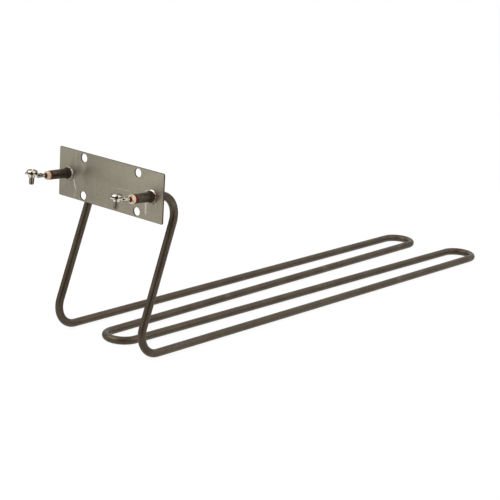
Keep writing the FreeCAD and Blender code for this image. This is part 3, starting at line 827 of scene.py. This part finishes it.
def roll_thread(bm):
    """One ridge wound up the shank."""
    buried = SCREW_RADIUS - THREAD_DEPTH - 0.06
    start = -SCREW_LENGTH + THREAD_START
    ridge = ((buried, 0.0), (SCREW_RADIUS, 0.25), (SCREW_RADIUS, 0.7), (buried, 0.95))
    crest = [bm.verts.new((r, 0, start + THREAD_PITCH * share)) for r, share in ridge]
    sides = [bm.edges.new(pair) for pair in zip(crest, crest[1:] + crest[:1])]
    turns = (SCREW_LENGTH - UNTHREADED) / THREAD_PITCH
    steps = round(turns * THREAD_TURN)
    bmesh.ops.spin(bm, geom=crest + sides, cent=(0, 0, 0), axis=(0, 0, 1),
                   angle=math.tau * steps / THREAD_TURN,
                   dvec=(0, 0, THREAD_PITCH / THREAD_TURN), steps=steps, use_merge=False)
    bmesh.ops.holes_fill(bm, edges=[edge for edge in bm.edges if edge.is_boundary], sides=4)


def slotted_screw(side):
    """A round-headed screw with one slot and a rolled thread."""
    angle = math.radians(SLOT_ANGLE[side])
    across = Vector((-math.sin(angle), math.cos(angle), 0))

    def soiled_and_shaded(at, normal):
        """Dark on the slot's walls and brown down the thread, darker in its roots, with painted
        shadow under the head and round the foot of its wall, a painted dark reflection over most of
        the head's top, and bright on the rest of the head's wall."""
        if at.z <= 0:
            in_root = math.hypot(at.x, at.y) < SCREW_RADIUS - THREAD_DEPTH + 0.2
            return 0.88 if in_root else 0.5
        if abs(at.dot(across)) < SLOT_WIDTH / 2 + SLOT_WALL and at.z < HEAD_HEIGHT - 0.9:
            return 0.2 if normal.z > 0.9 else 1.0
        # Painted shadow under the head and round the foot of its wall.
        if at.z < 0.9:
            return 1.0
        # Painted dark reflection on one side of a line across the head's top.
        if at.z > HEAD_RIM + 0.1:
            beside = DARK_REFLECTION_SIDE[0] * at.x + DARK_REFLECTION_SIDE[1] * at.y
            return 0.97 if beside > DARK_REFLECTION_LINE else 0.15
        return 0.0

    bm = bmesh.new()
    screw_head(bm)
    cut_slot(bm, across)
    roll_thread(bm)
    place = stub_place(side, STUB_LENGTH[side] + STUB_TO_SCREW, PIN_FLAT + LUG_RISE + LUG_THICKNESS)
    return finished(bm, f"{side}_slotted_screw", "screw", f"{side}_terminal_screw", place,
                    grime_and_shade=soiled_and_shaded)


plate_sheet()
for side in SIDES:
    braze_bead(side)
    collar_sleeve(side)
    seal_washer(side)
    bushing(side)
    mouth_seal(side)
    pin_rod(side)
    ring_lug(side)
    slotted_screw(side)


# Floor, backdrop and light

def room_glow(f, towards, low):
    """How bright the room is in a mirror: dark on the camera's side and, where it
    is low, dark behind the object as well. Everything else is white."""
    level = f.vector_math("MULTIPLY", towards, (1, 1, 0))
    level = f.add("ShaderNodeVectorMath", {"operation": "NORMALIZE"}, {0: level}, "Vector")
    facing = f.vector_math("DOT_PRODUCT", level, DARK_SIDE, "Value")
    behind = f.step(facing, -0.5, -0.15, 1.0, 0.0)
    return 1 - 0.96 * f.step(facing, 0.85, 0.965) - 0.92 * low * behind


def pale_floor():
    """A wide pale floor that shows white to the camera but keeps a soft shadow."""
    material, f = new_finish("pale_floor")
    camera, glossy, through = (f.light_ray(kind) for kind in
                               ("Is Camera Ray", "Is Glossy Ray", "Is Transmission Ray"))
    plain = f.add("ShaderNodeBsdfDiffuse", None, {"Color": (0.9, 0.9, 0.9, 1)})
    across = f.unsigned(f.part(0))
    along = f.unsigned(f.part(1) - 0.3)
    near = f.step(across, 0.2, 0.3, 1.0, 0.0) * f.step(along, 0.42, 0.52, 1.0, 0.0)
    glow = 1.08 * (camera | through) + glossy * (near | room_glow(f, f.where(), 1))
    white = f.add("ShaderNodeEmission", None, {"Color": WHITE, "Strength": glow})
    seen = (camera | glossy | through) * 0.85
    both = f.add("ShaderNodeMixShader", None, {0: seen, 1: plain, 2: white})
    f.add("ShaderNodeOutputMaterial", None, {"Surface": both})
    bm = bmesh.new()
    bmesh.ops.create_grid(bm, x_segments=1, y_segments=1, size=FLOOR_HALF_WIDTH)
    bmesh.ops.translate(bm, vec=(0, 0, FLOOR_HEIGHT - FLOOR_GAP), verts=bm.verts)
    mesh = bpy.data.meshes.new("floor")
    bm.to_mesh(mesh)
    bm.free()
    mesh.materials.append(material)
    floor = bpy.data.objects.new("floor", mesh)
    bpy.context.scene.collection.objects.link(floor)


def white_room():
    """The world: white to the camera, and in a mirror the room that room_glow gives,
    with a white ceiling."""
    world = bpy.data.worlds.new("white_room")
    world.use_nodes = True
    bpy.context.scene.world = world
    f = Finish(world.node_tree)
    camera, glossy, through = (f.light_ray(kind) for kind in
                               ("Is Camera Ray", "Is Glossy Ray", "Is Transmission Ray"))
    towards = f.add("ShaderNodeTexCoord", output="Generated")
    height = f.add("ShaderNodeSeparateXYZ", None, {"Vector": towards}, 2)
    ceiling = f.step(height, 0.4, 0.62)
    low = f.step(height, 0.05, 0.2, 1.0, 0.0)
    glow = glossy * (ceiling | room_glow(f, towards, low))
    ambient = 0.55 * (1 - (camera | glossy | through))
    back = f.add("ShaderNodeBackground", None, {
        "Color": WHITE, "Strength": (camera | through) + glow + ambient})
    f.add("ShaderNodeOutputWorld", None, {"Surface": back})


def softbox(name, place, aim, width, height, power):
    """One large square lamp that points at a spot on the object."""
    lamp = bpy.data.lights.new(name, "AREA")
    lamp.shape = "RECTANGLE"
    lamp.size = width
    lamp.size_y = height
    lamp.energy = power
    box = bpy.data.objects.new(name, lamp)
    bpy.context.scene.collection.objects.link(box)
    box.location = place
    box.rotation_mode = "QUATERNION"
    box.rotation_quaternion = (Vector(aim) - Vector(place)).to_track_quat("-Z", "Y")


def photo_camera():
    """The camera, at the photograph's own place, turn and focal length."""
    azimuth, elevation, roll = (math.radians(angle) for angle in
                                (CAMERA_AZIMUTH, CAMERA_ELEVATION, CAMERA_ROLL))
    back = Vector((math.sin(azimuth) * math.cos(elevation),
                   -math.cos(azimuth) * math.cos(elevation), math.sin(elevation)))
    right = (-back).cross(Vector((0, 0, 1))).normalized()
    up = right.cross(-back)
    across = right * math.cos(roll) + up * math.sin(roll)
    upward = up * math.cos(roll) - right * math.sin(roll)
    lens = bpy.data.cameras.new("photo_camera")
    lens.sensor_width = 36.0
    lens.lens = CAMERA_LENS
    camera = bpy.data.objects.new("photo_camera", lens)
    bpy.context.scene.collection.objects.link(camera)
    turned = Matrix((across, upward, back)).transposed().to_4x4()
    camera.matrix_world = Matrix.Translation(CAMERA_PLACE) @ turned
    bpy.context.scene.camera = camera


pale_floor()
white_room()
softbox("key_lamp", (-0.7, -0.9, 1.3), (0, 0.2, -0.1), 1.3, 1.0, 12.0)
softbox("fill_lamp", (1.3, 0.9, 1.1), (0, 0.2, -0.1), 1.2, 0.9, 4.0)
photo_camera()
bpy.context.scene.view_settings.view_transform = "Standard"
